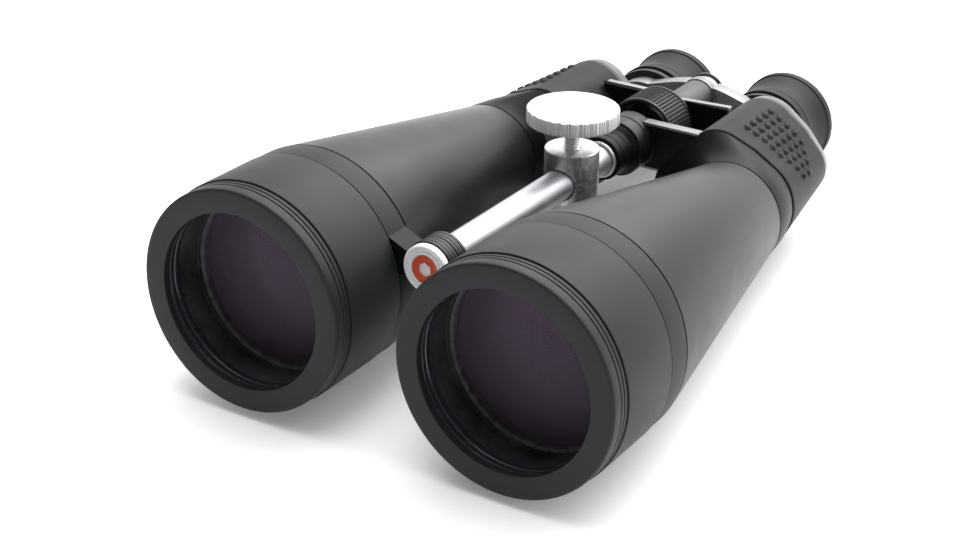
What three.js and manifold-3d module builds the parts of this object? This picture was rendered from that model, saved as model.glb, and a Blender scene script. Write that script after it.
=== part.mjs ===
// Giant Porro-prism astronomy binoculars, about 20 x 80, with a tripod rod along the hinge.
//
// Millimetres, +Z up. The pieces are drawn in the optical frame: Y = 0 is the front face of the
// hoods and +Y runs towards the eyepieces, X = 0 is the plane between the barrels, and Z = 0 is
// the height of the two barrel axes. One outer group then moves that frame so that the origin is
// the centre of the base under the hoods.
//
// The observer looks from the eyepieces along -Y, so the half at +X is their left one. Each half is
// drawn at +X, and the right one is then mirrored. The halves differ only in which hinge knuckles
// they carry and in the ring under the eyecup.

import * as THREE from "three";
import { mergeVertices } from "three/addons/utils/BufferGeometryUtils.js";
import Module from "manifold-3d";

const wasm = await Module();
wasm.setup();

// ---------------------------------------------------------------- driving dimensions
const LENGTH = 328.2; // hood face to eyecup rim
const BARREL_SPACING = 128.3; // between the two objective axes
const EYEPIECE_SPACING = 63.4; // between the two eyepiece axes, as folded
const EYEPIECE_DROP = 2.4; // eyepiece axes below the barrel axes
const HINGE_RISE = 15.2; // hinge axis above the barrel axes
const HOOD_RADIUS = 50.5;
const GAP = 0.3; // air between neighbouring pieces
const TURNING_GAP = 0.4; // air round a knuckle that turns inside its neighbour
const HOOD_BORE = 47.1; // bore of the hood and the clamp ring, over the barrel's spigot
const SPIGOT_RADIUS = 46.8;
const LENS_RADIUS = 40.9;
const NECK_RADIUS = 25.5; // where the barrel meets the prism housing
const ARMOR_THICKNESS = 2.0;
const HOUSING_WALL = 1.8;
const ROD_RADIUS = 7.3;
const PIN_RADIUS = 6;
const SCREW_RADIUS = 2.9;
const SCREW_BORE = 3.2;
const TUBE_RADIUS = 15.9; // eyepiece tube
const TUBE_BORE = 14;
const TUBE_GUIDE = 16.2; // bores that the eyepiece tube goes through
const BLOCK_Y = 162.4; // tripod block's axis, behind the hood face

// Stations along Y, from the hood face.
const HOOD_END = 45.9;
const BAND_START = 46.15;
const BAND_END = 58.85;
const CONE_START = 59.15;
const CONE_END = 196;
const NECK_START = 196.15;
const ARMOR_START = 216.3;
const ARMOR_END = 265;
const COVER_START = 265.2;
const COVER_END = 273.4;
const SLEEVE_END = 284.4; // sleeve on the cover that guides the eyepiece tube
const SHELF_Y = 234; // middle of the prism shelf
const WHEEL_START = 228;
const WHEEL_END = 249;

// Segments round a turned piece.
const FINE = 32;
const MEDIUM = 20;
const COARSE = 12;

// Axes of the half at +X, in the XZ plane.
const BARREL = new THREE.Vector2(BARREL_SPACING / 2, 0);
const EYEPIECE = new THREE.Vector2(EYEPIECE_SPACING / 2, -EYEPIECE_DROP);
const HINGE = new THREE.Vector2(0, HINGE_RISE);

// The light path turns at the corner of a right triangle raised on the line between the two axes,
// so each Porro prism shifts it by the same distance.
const HALF_OFFSET = EYEPIECE.clone().sub(BARREL).multiplyScalar(0.5);
const FOLD_CORNER = new THREE.Vector2(HALF_OFFSET.y, -HALF_OFFSET.x).add(BARREL).add(HALF_OFFSET);
const PRISM_SHIFT = BARREL.distanceTo(FOLD_CORNER);
const PRISM_WIDTH = 15;

// ---------------------------------------------------------------- looks
const look = (color, roughness, metalness) => ({ color, roughness, metalness });
const LOOKS = {
  rubber: look(0x2b2d30, 0.75, 0),
  paint: look(0x232427, 0.55, 0.1),
  plate: look(0x8d8d88, 0.45, 0.6),
  satin: look(0xc4c6c8, 0.3, 1),
  bright: look(0xe3e4e6, 0.18, 1),
  blackMetal: look(0x18191b, 0.35, 0.6),
  glass: look(0x4a2f52, 0.05, 0),
  enamel: look(0xb5402c, 0.4, 0),
};

// ---------------------------------------------------------------- geometry helpers

// A piece turned about the Y axis at (axis.x, axis.y) in XZ, from a closed profile of
// [radius, y] points taken anticlockwise. A profile with points on the axis starts and ends there.
function turned(profile, segments, axis = new THREE.Vector2()) {
  const closed = profile[0][0] > 0 ? [...profile, profile[0]] : profile;
  const points = closed.map(([radius, y]) => new THREE.Vector2(radius, y));
  const geometry = new THREE.LatheGeometry(points, segments);
  geometry.translate(axis.x, 0, axis.y);
  return geometry;
}

// A tube, or a solid disc where the inner radius is 0, from y0 to y1 about an axis along Y.
function tube(inner, outer, y0, y1, segments, axis = new THREE.Vector2()) {
  return turned([[inner, y0], [outer, y0], [outer, y1], [inner, y1]], segments, axis);
}

// A box between two corners.
function box(low, high) {
  const [lowX, lowY, lowZ] = low;
  const [highX, highY, highZ] = high;
  const geometry = new THREE.BoxGeometry(highX - lowX, highY - lowY, highZ - lowZ);
  geometry.translate((lowX + highX) / 2, (lowY + highY) / 2, (lowZ + highZ) / 2);
  return geometry;
}

// An outline in the XZ plane, given as [x, z] points, extruded from y0 to y1.
function slab(outline, y0, y1) {
  const shape = new THREE.Shape(outline.map(([x, z]) => new THREE.Vector2(x, z)));
  const geometry = new THREE.ExtrudeGeometry(shape, { depth: y1 - y0, bevelEnabled: false });
  geometry.rotateX(Math.PI / 2);
  geometry.translate(0, y1, 0);
  return geometry;
}

// Points round the convex outline that encloses some circles. Each is the outermost point in its
// own direction, so outlines of different circles match point by point.
function enclosing(circles, inset, count) {
  const points = [];
  for (let i = 0; i < count; i += 1) {
    const angle = (2 * Math.PI * i) / count;
    const normal = new THREE.Vector2(Math.cos(angle), Math.sin(angle));
    const reach = ({ center, radius }) => center.dot(normal) + radius;
    const further = (best, next) => (reach(next) > reach(best) ? next : best);
    const outermost = circles.reduce(further);
    points.push(normal.multiplyScalar(outermost.radius - inset).add(outermost.center));
  }
  return points;
}

// A solid through a row of convex outlines, each at its own y, front first.
function loft(stations, inset, count = 32) {
  const rings = stations.map(({ y, circles }) => ({ y, points: enclosing(circles, inset, count) }));
  const position = [];
  for (const { y, points } of rings) {
    points.forEach((point) => position.push(point.x, y, point.y));
  }
  const index = [];
  for (let ring = 0; ring < rings.length - 1; ring += 1) {
    for (let i = 0; i < count; i += 1) {
      const here = ring * count + i;
      const next = ring * count + ((i + 1) % count);
      index.push(here, here + count, next, next, here + count, next + count);
    }
  }
  const last = (rings.length - 1) * count;
  for (let i = 1; i < count - 1; i += 1) {
    index.push(0, i, i + 1);
    index.push(last, last + i + 1, last + i);
  }
  const geometry = new THREE.BufferGeometry();
  geometry.setAttribute("position", new THREE.Float32BufferAttribute(position, 3));
  geometry.setIndex(index);
  return geometry;
}

function toSolid(geometry) {
  const bare = geometry.clone();
  bare.deleteAttribute("normal");
  bare.deleteAttribute("uv");
  const merged = mergeVertices(bare, 1e-4);
  const corners = merged.index.array;
  const triangles = [];
  for (let i = 0; i < corners.length; i += 3) {
    const [a, b, c] = corners.slice(i, i + 3);
    if (a !== b && b !== c && c !== a) {
      triangles.push(a, b, c);
    }
  }
  const vertProperties = new Float32Array(merged.attributes.position.array);
  const triVerts = new Uint32Array(triangles);
  return new wasm.Manifold(new wasm.Mesh({ numProp: 3, vertProperties, triVerts }));
}

function toGeometry(solid) {
  const mesh = solid.getMesh();
  const geometry = new THREE.BufferGeometry();
  geometry.setAttribute("position", new THREE.BufferAttribute(mesh.vertProperties, 3));
  geometry.setIndex(new THREE.BufferAttribute(mesh.triVerts, 1));
  geometry.computeVertexNormals();
  return geometry;
}

// Joins the first list of geometries and cuts the second list out of it.
function carve(joined, removed) {
  const body = joined.map(toSolid).reduce((sum, solid) => sum.add(solid));
  const cut = removed.map(toSolid).reduce((rest, solid) => rest.subtract(solid), body);
  return toGeometry(cut);
}

// The mirror image across X = 0, with its faces turned to point outwards again.
function mirrored(geometry) {
  const flipped = geometry.index ? geometry.clone() : mergeVertices(geometry);
  flipped.scale(-1, 1, 1);
  const index = flipped.index.array;
  for (let i = 0; i < index.length; i += 3) {
    [index[i], index[i + 1]] = [index[i + 1], index[i]];
  }
  return flipped;
}

function piece(name, geometry, { color, roughness, metalness }) {
  const material = new THREE.MeshStandardMaterial({ color, roughness, metalness });
  const mesh = new THREE.Mesh(geometry, material);
  mesh.name = name;
  return mesh;
}

// How far a spherical surface has fallen back at a radius, for its radius of curvature.
const sagitta = (radius, curvature) => curvature - Math.sqrt(curvature ** 2 - radius ** 2);

// A lens turned about Y: front and rear vertices, and the radii of curvature of its two faces,
// positive where the face's edge lies behind its vertex.
function lens(radius, front, frontCurve, rear, rearCurve, segments, axis) {
  const steps = [0, 0.5, 1];
  const face = (vertex, curve) => (share) => {
    const fall = Math.sign(curve) * sagitta(radius * share, Math.abs(curve));
    return [radius * share, vertex + fall];
  };
  const frontFace = steps.map(face(front, frontCurve));
  const rearFace = steps.map(face(rear, rearCurve)).reverse();
  return turned([...frontFace, ...rearFace], segments, axis);
}

// ---------------------------------------------------------------- the prism housing's outline
// Each outline encloses a circle round the barrel's side, one over the fold of the light path and
// one round the eyepiece.
const circle = (x, z, radius) => ({ center: new THREE.Vector2(x, z), radius });
const roundEyepiece = (radius) => ({ center: EYEPIECE, radius });
const HOUSING_INSET = ARMOR_THICKNESS + GAP;
const NECK_OUTLINE = [{ center: BARREL, radius: NECK_RADIUS + HOUSING_INSET }];
const FRONT_OUTLINE = [circle(64.15, 0, 22.8), circle(48, 13.7, 17.4), roundEyepiece(17)];
const REAR_OUTLINE = [circle(65, 1, 15), circle(47.3, 13.4, 17.6), roundEyepiece(17)];
const COVER_OUTLINE = [circle(63.8, 0, 14.2), circle(46.8, 12.2, 17.6), roundEyepiece(17)];
const CAVITY_INSET = HOUSING_INSET + HOUSING_WALL;
const HOUSING_STATIONS = [
  { y: NECK_START, circles: NECK_OUTLINE },
  { y: ARMOR_START, circles: FRONT_OUTLINE },
  { y: ARMOR_END, circles: REAR_OUTLINE },
];
const ARMOR_STATIONS = HOUSING_STATIONS.slice(1);

// Stretches a row of stations past its two ends, so that a cut runs clean through.
function overrun(stations, extra = 1) {
  const first = { ...stations[0], y: stations[0].y - extra };
  const last = { ...stations.at(-1), y: stations.at(-1).y + extra };
  return [first, ...stations, last];
}

// ---------------------------------------------------------------- one half: optics and casings

// Threaded rubber-covered hood in front of the objective, over the barrel's spigot.
function hood() {
  const profile = [
    [39.5, 0], [49.4, 0], [HOOD_RADIUS, 2.2], [HOOD_RADIUS, 36], [50.0, HOOD_END],
    [HOOD_BORE, HOOD_END], [HOOD_BORE, 24.2], [41.5, 24.2], [41.5, 3.2], [39.5, 3.2],
  ];
  return turned(profile, FINE, BARREL);
}

function lensCell() {
  const profile = [
    [41.2, 24.5], [46.6, 24.5], [46.6, 35.8], [43.9, 35.8], [43.9, 50],
    [38.5, 50], [38.5, 42.9], [41.2, 42.9],
  ];
  return turned(profile, FINE, BARREL);
}

const retainingRing = () => tube(38.8, 41, 26.6, 30.2, FINE, BARREL);
const crownElement = () => lens(LENS_RADIUS, 27, 220, 38.5, -190, FINE, BARREL);
const flintElement = () => lens(LENS_RADIUS, 38.8, -190, 43.3, -900, FINE, BARREL);

// Clamp ring round the barrel, with a flat arm to its knuckle on the tripod rod.
const BRACKET_KNUCKLE_RADIUS = 13;

function bracketRing(knuckle) {
  const arm = [[8.5, 8], [17.5, 7.5], [24, 16], [21.5, 24.2], [8.5, 20.2]];
  const joined = [
    tube(46, 49.8, BAND_START, BAND_END, FINE, BARREL),
    slab(arm, BAND_START, BAND_END),
    tube(5, BRACKET_KNUCKLE_RADIUS, knuckle.own[0], knuckle.own[1], MEDIUM, HINGE),
  ];
  const otherRadius = BRACKET_KNUCKLE_RADIUS + TURNING_GAP;
  const removed = [
    tube(0, HOOD_BORE, BAND_START - 1, BAND_END + 1, FINE, BARREL),
    tube(0, ROD_RADIUS + GAP, BAND_START - 1, BAND_END + 1, MEDIUM, HINGE),
    tube(0, otherRadius, knuckle.clear[0], knuckle.clear[1], MEDIUM, HINGE),
  ];
  return carve(joined, removed);
}

// Long cone with a cylindrical spigot under the hood and the clamp ring.
function barrel() {
  const profile = [
    [44.2, 36], [SPIGOT_RADIUS, 36], [SPIGOT_RADIUS, CONE_START], [49.6, CONE_START],
    [NECK_RADIUS, CONE_END], [23.1, CONE_END], [44.2, 76],
  ];
  return turned(profile, FINE, BARREL);
}

// Hinge plates: a web from the housing to the hinge axis and a knuckle round it.
const FRONT_PLATE = { y0: 216, y1: 221, top: 10.6, knuckleRadius: 13.45 };
const REAR_PLATE = { y0: 252, y1: 257, top: 12, knuckleRadius: 12 };
const WEB_START = 9; // a web runs from here, inside its knuckle, to here in the housing's wall
const WEB_REACH = 41;

const GUSSET_REACH = 23; // a gusset ties a knuckle that stands in front of its plate to that plate
const GUSSET_STEP = 3; // and is this much lower than the plate, above and below

// A box as tall as a hinge plate, less a step above and below.
function plateBox(plate, x0, x1, y0, y1, step = 0) {
  const height = plate.top - step;
  return box([x0, y0, HINGE_RISE - height], [x1, y1, HINGE_RISE + height]);
}

function lug(plate, knuckle) {
  const [start, end] = knuckle.own;
  const joined = [
    plateBox(plate, WEB_START, WEB_REACH, plate.y0, plate.y1),
    tube(4, plate.knuckleRadius, start, end, MEDIUM, HINGE),
  ];
  if (end < plate.y0) {
    joined.push(plateBox(plate, WEB_START, GUSSET_REACH, start, plate.y1, GUSSET_STEP));
  }
  const otherRadius = plate.knuckleRadius + TURNING_GAP;
  const removed = [
    tube(0, PIN_RADIUS + GAP, start - 1, end + 1, MEDIUM, HINGE),
    tube(0, otherRadius, knuckle.clear[0], knuckle.clear[1], MEDIUM, HINGE),
  ];
  return carve(joined, removed);
}

// Cast housing: a neck that flares from the barrel, the prism chamber and the hinge lugs.
function prismHousing(knuckles) {
  const joined = [
    loft(HOUSING_STATIONS, HOUSING_INSET),
    lug(FRONT_PLATE, knuckles.front),
    lug(REAR_PLATE, knuckles.rear),
  ];
  return carve(joined, [loft(overrun(HOUSING_STATIONS), CAVITY_INSET)]);
}

// Rubber armour moulded over the housing, slotted where the hinge plates pass through it.
function armor() {
  const reach = WEB_REACH + GAP;
  const slot = (plate) => plateBox(plate, 0, reach, plate.y0 - GAP, plate.y1 + GAP, -GAP);
  const gussetStep = GUSSET_STEP - GAP;
  const removed = [
    loft(overrun(ARMOR_STATIONS), ARMOR_THICKNESS),
    slot(FRONT_PLATE),
    slot(REAR_PLATE),
    plateBox(FRONT_PLATE, 0, reach, ARMOR_START - 1, FRONT_PLATE.y1, gussetStep),
  ];
  return carve([loft(ARMOR_STATIONS, 0)], removed);
}

// Plate that closes the housing, with the sleeve that guides the eyepiece tube.
function rearCover() {
  const chamfer = 1;
  const rim = COVER_OUTLINE.map(({ center, radius }) => ({ center, radius: radius - chamfer }));
  const plate = [
    { y: COVER_START, circles: REAR_OUTLINE },
    { y: COVER_END - chamfer, circles: COVER_OUTLINE },
    { y: COVER_END, circles: rim },
  ];
  const sleeve = tube(15, 18.4, COVER_END - 1, SLEEVE_END, MEDIUM, EYEPIECE);
  const bore = tube(0, TUBE_GUIDE, COVER_START - 1, SLEEVE_END + 1, MEDIUM, EYEPIECE);
  return carve([loft(plate, 0), sleeve], [bore]);
}

// Plate across the prism chamber that holds a prism on each side, with three light ports.
function prismShelf() {
  const along = (SHELF_Y - ARMOR_START) / (ARMOR_END - ARMOR_START);
  const circles = FRONT_OUTLINE.map(({ center, radius }, i) => ({
    center: center.clone().lerp(REAR_OUTLINE[i].center, along),
    radius: THREE.MathUtils.lerp(radius, REAR_OUTLINE[i].radius, along),
  }));
  const stations = [{ y: SHELF_Y - 1.2, circles }, { y: SHELF_Y + 1.2, circles }];
  const port = (axis) => tube(0, 8.5, SHELF_Y - 3, SHELF_Y + 3, COARSE, axis);
  const ports = [BARREL, FOLD_CORNER, EYEPIECE].map(port);
  return carve([loft(stations, CAVITY_INSET + 1)], ports);
}

// Porro prism with its long face against the shelf and rounded ends, over the path from one axis
// to the next. Its ridge points back for toRear = 1 and forward for toRear = -1.
function porroPrism(from, to, toRear) {
  const face = SHELF_Y + toRear * 1.5;
  const half = PRISM_SHIFT - 0.3;
  const shape = new THREE.Shape([
    new THREE.Vector2(-half, 0),
    new THREE.Vector2(half, 0),
    new THREE.Vector2(0.5, toRear * (half - 0.5)),
    new THREE.Vector2(-0.5, toRear * (half - 0.5)),
  ]);
  const wedge = new THREE.ExtrudeGeometry(shape, { depth: PRISM_WIDTH, bevelEnabled: false });
  wedge.translate(0, 0, -PRISM_WIDTH / 2);
  const direction = to.clone().sub(from);
  wedge.rotateY(-direction.angle());
  const middle = from.clone().add(to).multiplyScalar(0.5);
  wedge.translate(middle.x, face, middle.y);
  const reach = direction.normalize().multiplyScalar(half - PRISM_WIDTH / 2);
  const ends = [middle.clone().sub(reach), middle.clone().add(reach)];
  const circles = ends.map((center) => ({ center, radius: PRISM_WIDTH / 2 }));
  const stadium = loft([{ y: face - 30, circles }, { y: face + 30, circles }], 0.05, 32);
  return toGeometry(toSolid(wedge).intersect(toSolid(stadium)));
}

// ---------------------------------------------------------------- one half: eyepiece

// Arm of the focusing bridge: a ring round the eyepiece tube, a curved web and a hub knuckle.
const ARM = { y0: 287.6, y1: 295.9, ringRadius: 18.8, knuckleRadius: 9.3 };
const BRIDGE_COLLAR_Y = 292.6; // front face of the bright collar on the hub

function bridgeArm(knuckle) {
  const { y0, y1, ringRadius, knuckleRadius } = ARM;
  const otherRadius = knuckleRadius + TURNING_GAP;
  const web = [
    [4, HINGE_RISE + 6.2], [4, HINGE_RISE - 5], [18, 1], [25, 12], [29, 15.6], [17, 18.6],
  ];
  const joined = [
    tube(15, ringRadius, y0, y1, MEDIUM, EYEPIECE),
    slab(web, y0, y1),
    tube(5, knuckleRadius, knuckle.own[0], knuckle.own[1], MEDIUM, HINGE),
  ];
  const removed = [
    tube(0, TUBE_GUIDE, y0 - 1, y1 + 1, MEDIUM, EYEPIECE),
    tube(0, PIN_RADIUS + GAP, y0 - 2, y1 + 1, MEDIUM, HINGE),
    tube(0, otherRadius, knuckle.clear[0], knuckle.clear[1], MEDIUM, HINGE),
    tube(0, otherRadius, BRIDGE_COLLAR_Y - GAP, y1 + 1, MEDIUM, HINGE),
  ];
  return carve(joined, removed);
}

// Ring under the eyecup: fixed on the left, and the dioptre ring on the right. The dioptre setting
// moves the ocular by 1.21 either way, in the space between this ring and the eyecup.
const EYEPIECE_RING = { y0: 296.2, y1: 299.7, radius: 22.2 };
const EYECUP_START = 301.1;

// Outer tube that slides in the rear cover's sleeve and carries the field lens.
const eyepieceTube = () => tube(TUBE_BORE, TUBE_RADIUS, 268, EYEPIECE_RING.y1, MEDIUM, EYEPIECE);

function eyepieceRing() {
  const { y0, y1, radius } = EYEPIECE_RING;
  return tube(TUBE_GUIDE, radius, y0, y1, MEDIUM, EYEPIECE);
}

// Inner barrel with the eye lens, free to slide in the tube by the dioptre setting.
function ocularBarrel() {
  const outer = TUBE_BORE - GAP;
  const shoulder = EYECUP_START - 0.1;
  const profile = [
    [12.6, 284], [outer, 284], [outer, shoulder], [18, shoulder], [18, 312],
    [11.5, 312], [11.5, 310.6], [12.6, 310.6],
  ];
  return turned(profile, MEDIUM, EYEPIECE);
}

const fieldLens = () => lens(TUBE_BORE - GAP, 270, 60, 275, -40, COARSE, EYEPIECE);
const eyeLens = () => lens(12.4, 303.5, 40, 309.8, -60, COARSE, EYEPIECE);

// Flared rubber eyecup.
function eyecup() {
  const profile = [
    [18.3, EYECUP_START], [22.9, EYECUP_START], [22.4, 309], [22.4, 314], [23.4, 320.5], [24.6, 324],
    [24.6, 327.4], [23.9, LENGTH], [22, LENGTH], [18.5, 321], [14, 314.6], [12.6, 313.6],
    [12.6, 312.4], [18.3, 312.4],
  ];
  return turned(profile, MEDIUM, EYEPIECE);
}

// ---------------------------------------------------------------- the two halves
const LEFT = {
  name: "left",
  bracket: { own: [52.6, BAND_END], clear: [BAND_START - 1, 52.45] },
  front: { own: [212.2, 221], clear: [203, 212.05] },
  rear: { own: [254.2, 257.3], clear: [250, 254.05] },
  arm: { own: [290, 292.3], clear: [ARM.y0 - 1, 289.85] },
};
const RIGHT = {
  name: "right",
  bracket: { own: [BAND_START, 52.3], clear: [52.45, BAND_END + 1] },
  front: { own: [204, 211.9], clear: [212.05, 222] },
  rear: { own: [250.8, 253.9], clear: [254.05, 258] },
  arm: { own: [ARM.y0, 289.7], clear: [289.85, 293] },
};

function half(side) {
  const group = new THREE.Group();
  const place = side === RIGHT ? mirrored : (geometry) => geometry;
  const add = (name, geometry, finish) => {
    group.add(piece(`${name}_${side.name}`, place(geometry), finish));
  };
  add("hood", hood(), LOOKS.rubber);
  add("lens_cell", lensCell(), LOOKS.blackMetal);
  add("retaining_ring", retainingRing(), LOOKS.blackMetal);
  add("crown_element", crownElement(), LOOKS.glass);
  add("flint_element", flintElement(), LOOKS.glass);
  add("bracket_ring", bracketRing(side.bracket), LOOKS.paint);
  add("barrel", barrel(), LOOKS.rubber);
  add("prism_housing", prismHousing(side), LOOKS.plate);
  add("armor", armor(), LOOKS.rubber);
  add("rear_cover", rearCover(), LOOKS.plate);
  add("prism_shelf", prismShelf(), LOOKS.blackMetal);
  add("rear_prism", porroPrism(BARREL, FOLD_CORNER, 1), LOOKS.glass);
  add("front_prism", porroPrism(FOLD_CORNER, EYEPIECE, -1), LOOKS.glass);
  add("bridge_arm", bridgeArm(side.arm), LOOKS.plate);
  add("eyepiece_tube", eyepieceTube(), LOOKS.blackMetal);
  add("ocular_barrel", ocularBarrel(), LOOKS.blackMetal);
  add("field_lens", fieldLens(), LOOKS.glass);
  add("eye_lens", eyeLens(), LOOKS.glass);
  add("eyecup", eyecup(), LOOKS.rubber);
  return group;
}

// ---------------------------------------------------------------- centre: hinge, rod and focus
const SCREW_CLEARANCE = 3.4; // bore that the focus screw slides through

function hinge() {
  const group = new THREE.Group();
  const sleeve = [[7.6, 189], [10.4, 189], [10.4, 201.4], [12.4, 203.7], [7.6, 203.7]];
  group.add(piece("hinge_sleeve", turned(sleeve, MEDIUM, HINGE), LOOKS.paint));
  const collar = [[7.5, 187.4], [8.8, 187.4], [8.8, 188.8], [7.5, 188.8]];
  group.add(piece("rod_collar", turned(collar, MEDIUM, HINGE), LOOKS.bright));
  const pin = [
    [0, 204], [PIN_RADIUS, 204], [PIN_RADIUS, 227.6], [SCREW_CLEARANCE, 227.6],
    [SCREW_CLEARANCE, 208], [0, 208],
  ];
  group.add(piece("hinge_pin", turned(pin, COARSE, HINGE), LOOKS.satin));
  const bush = tube(SCREW_CLEARANCE, PIN_RADIUS, 250.6, 257.6, COARSE, HINGE);
  group.add(piece("rear_hinge_bush", bush, LOOKS.satin));
  return group;
}

const ROD_START = 46.05;
const ROD_END = 203.4;

function rod() {
  const group = new THREE.Group();
  group.add(piece("center_rod", tube(0, ROD_RADIUS, ROD_START, ROD_END, MEDIUM, HINGE), LOOKS.satin));
  const cap = [
    [0, 43.4], [6.6, 43.4], [6.6, 42.6], [10.4, 42.6], [11.2, 43.2], [11.2, 45.8], [0, 45.8],
  ];
  group.add(piece("end_cap", turned(cap, MEDIUM, HINGE), LOOKS.bright));
  group.add(piece("cap_ring", tube(2.8, 6.3, 42.7, 43.2, MEDIUM, HINGE), LOOKS.enamel));
  return group;
}

// A turned piece whose axis is vertical, at the tripod block's place. Profiles are [radius, z].
function upright(profile, segments) {
  const geometry = turned(profile, segments);
  geometry.rotateX(Math.PI / 2);
  geometry.translate(0, BLOCK_Y, 0);
  return geometry;
}

function uprightRod(radius, bottom, top, segments) {
  return upright([[0, bottom], [radius, bottom], [radius, top], [0, top]], segments);
}

const BLOCK = { radius: 12.5, bottom: -8.8, top: 29.9, tripodHole: 3.2, tripodDepth: 10 };
const STUD_RADIUS = 3.95;
const KNOB = { radius: 21, bottom: 42.5, top: 48.9 };

function tripodMount() {
  const group = new THREE.Group();
  const rodTop = HINGE_RISE + ROD_RADIUS;
  const { radius, bottom, top, tripodHole, tripodDepth } = BLOCK;
  const body = uprightRod(radius, bottom, top, FINE);
  const tapped = uprightRod(STUD_RADIUS + 0.15, rodTop - 4, top + 1, COARSE);
  const socket = uprightRod(tripodHole, bottom - 1, bottom + tripodDepth, COARSE);
  const crossBore = tube(0, ROD_RADIUS + 0.2, BLOCK_Y - 20, BLOCK_Y + 20, MEDIUM, HINGE);
  group.add(piece("tripod_block", carve([body], [tapped, socket, crossBore]), LOOKS.satin));
  const stud = uprightRod(STUD_RADIUS, rodTop + GAP, KNOB.bottom - 0.1, COARSE);
  group.add(piece("clamp_stud", stud, LOOKS.bright));
  const knob = [
    [0, KNOB.bottom], [KNOB.radius - 0.8, KNOB.bottom], [KNOB.radius, KNOB.bottom + 0.8],
    [KNOB.radius, KNOB.top - 0.6], [KNOB.radius - 0.6, KNOB.top], [0, KNOB.top],
  ];
  group.add(piece("clamp_knob", upright(knob, FINE), LOOKS.bright));
  return group;
}

function focuser() {
  const group = new THREE.Group();
  const wheel = [
    [SCREW_BORE, 234], [14, 234], [14, WHEEL_START], [17.2, WHEEL_START], [17.2, 229.2],
    [15.6, 229.2], [15.6, 247.8], [17.2, 247.8], [17.2, WHEEL_END], [14, WHEEL_END], [14, 243],
    [SCREW_BORE, 243],
  ];
  group.add(piece("focus_wheel", turned(wheel, MEDIUM, HINGE), LOOKS.blackMetal));
  group.add(piece("focus_grip", tube(15.75, 17.4, 229.4, 247.6, MEDIUM, HINGE), LOOKS.rubber));
  const screw = tube(0, SCREW_RADIUS, 224, 296.8, COARSE, HINGE);
  group.add(piece("focus_screw", screw, LOOKS.satin));
  const hub = [
    [SCREW_BORE, 260.4], [5.8, 260.4], [7.8, 262.4], [8.8, 266], [8.8, ARM.y0 - GAP],
    [PIN_RADIUS, ARM.y0 - GAP], [PIN_RADIUS, 292.4], [SCREW_BORE, 292.4],
  ];
  group.add(piece("bridge_hub", turned(hub, MEDIUM, HINGE), LOOKS.plate));
  const collar = tube(SCREW_BORE, 8.2, BRIDGE_COLLAR_Y, 296.9, MEDIUM, HINGE);
  group.add(piece("bridge_collar", collar, LOOKS.bright));
  const cap = [[0, 297.2], [9.3, 297.2], [9.3, 298.6], [7, 300.6], [0, 301.3]];
  group.add(piece("bridge_cap", turned(cap, MEDIUM, HINGE), LOOKS.blackMetal));
  return group;
}

// ---------------------------------------------------------------- assembly
const binoculars = new THREE.Group();
binoculars.add(half(LEFT));
binoculars.add(half(RIGHT));
binoculars.add(piece("eyepiece_ring_left", eyepieceRing(), LOOKS.paint));
binoculars.add(piece("dioptre_ring", mirrored(eyepieceRing()), LOOKS.paint));
binoculars.add(hinge());
binoculars.add(rod());
binoculars.add(tripodMount());
binoculars.add(focuser());
binoculars.position.set(0, -LENGTH / 2, HOOD_RADIUS);

export default binoculars;
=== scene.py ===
"""Looks of the giant Porro-prism binoculars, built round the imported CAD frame.

Pieces are drawn in millimetres in the optical frame of the CAD part: X = 0 is the plane between
the barrels, Y = 0 is the hoods' front face with +Y towards the eyepieces, and Z = 0 is the height
of the barrel axes. TO_ROW turns that into the row frame, in metres. Each half is drawn at +X,
which is the observer's left, and mirrored for the right.
"""

import math

import bmesh
import bpy
from mathutils import Matrix, Vector

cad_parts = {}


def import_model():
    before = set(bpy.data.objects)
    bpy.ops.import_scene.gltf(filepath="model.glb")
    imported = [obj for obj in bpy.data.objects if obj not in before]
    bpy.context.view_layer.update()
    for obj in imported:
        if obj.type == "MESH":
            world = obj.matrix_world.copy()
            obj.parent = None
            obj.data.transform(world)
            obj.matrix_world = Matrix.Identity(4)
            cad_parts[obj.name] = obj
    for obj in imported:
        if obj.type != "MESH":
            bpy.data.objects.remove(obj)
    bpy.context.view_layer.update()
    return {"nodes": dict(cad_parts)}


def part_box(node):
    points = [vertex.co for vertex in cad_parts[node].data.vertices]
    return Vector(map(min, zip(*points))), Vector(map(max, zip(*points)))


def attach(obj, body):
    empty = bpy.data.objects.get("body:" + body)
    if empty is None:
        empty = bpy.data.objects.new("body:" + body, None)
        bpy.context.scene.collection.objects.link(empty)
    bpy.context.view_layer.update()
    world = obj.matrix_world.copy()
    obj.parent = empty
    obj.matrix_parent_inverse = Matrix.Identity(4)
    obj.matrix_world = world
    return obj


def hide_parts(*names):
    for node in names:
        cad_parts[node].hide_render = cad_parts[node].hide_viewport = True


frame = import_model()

# -------- the optical frame
MM = 0.001
HOOD_LOW, HOOD_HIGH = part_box("hood_left")
AXIS_HEIGHT = (HOOD_LOW.z + HOOD_HIGH.z) / 2
TO_ROW = Matrix.Translation((0, HOOD_LOW.y, AXIS_HEIGHT)) @ Matrix.Scale(MM, 4)
FROM_ROW = TO_ROW.inverted()
MIRROR = Matrix.Scale(-1, 4, (1, 0, 0))


class Span:
    """A CAD node's box in the optical frame, for a piece that is round about the Y axis."""

    def __init__(self, node):
        low, high = (FROM_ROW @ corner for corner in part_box(node))
        self.start = low.y
        self.end = high.y
        self.bottom = low.z
        self.top = high.z
        self.axis = ((low.x + high.x) / 2, (low.z + high.z) / 2)
        self.radius = (high.x - low.x) / 2


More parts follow.
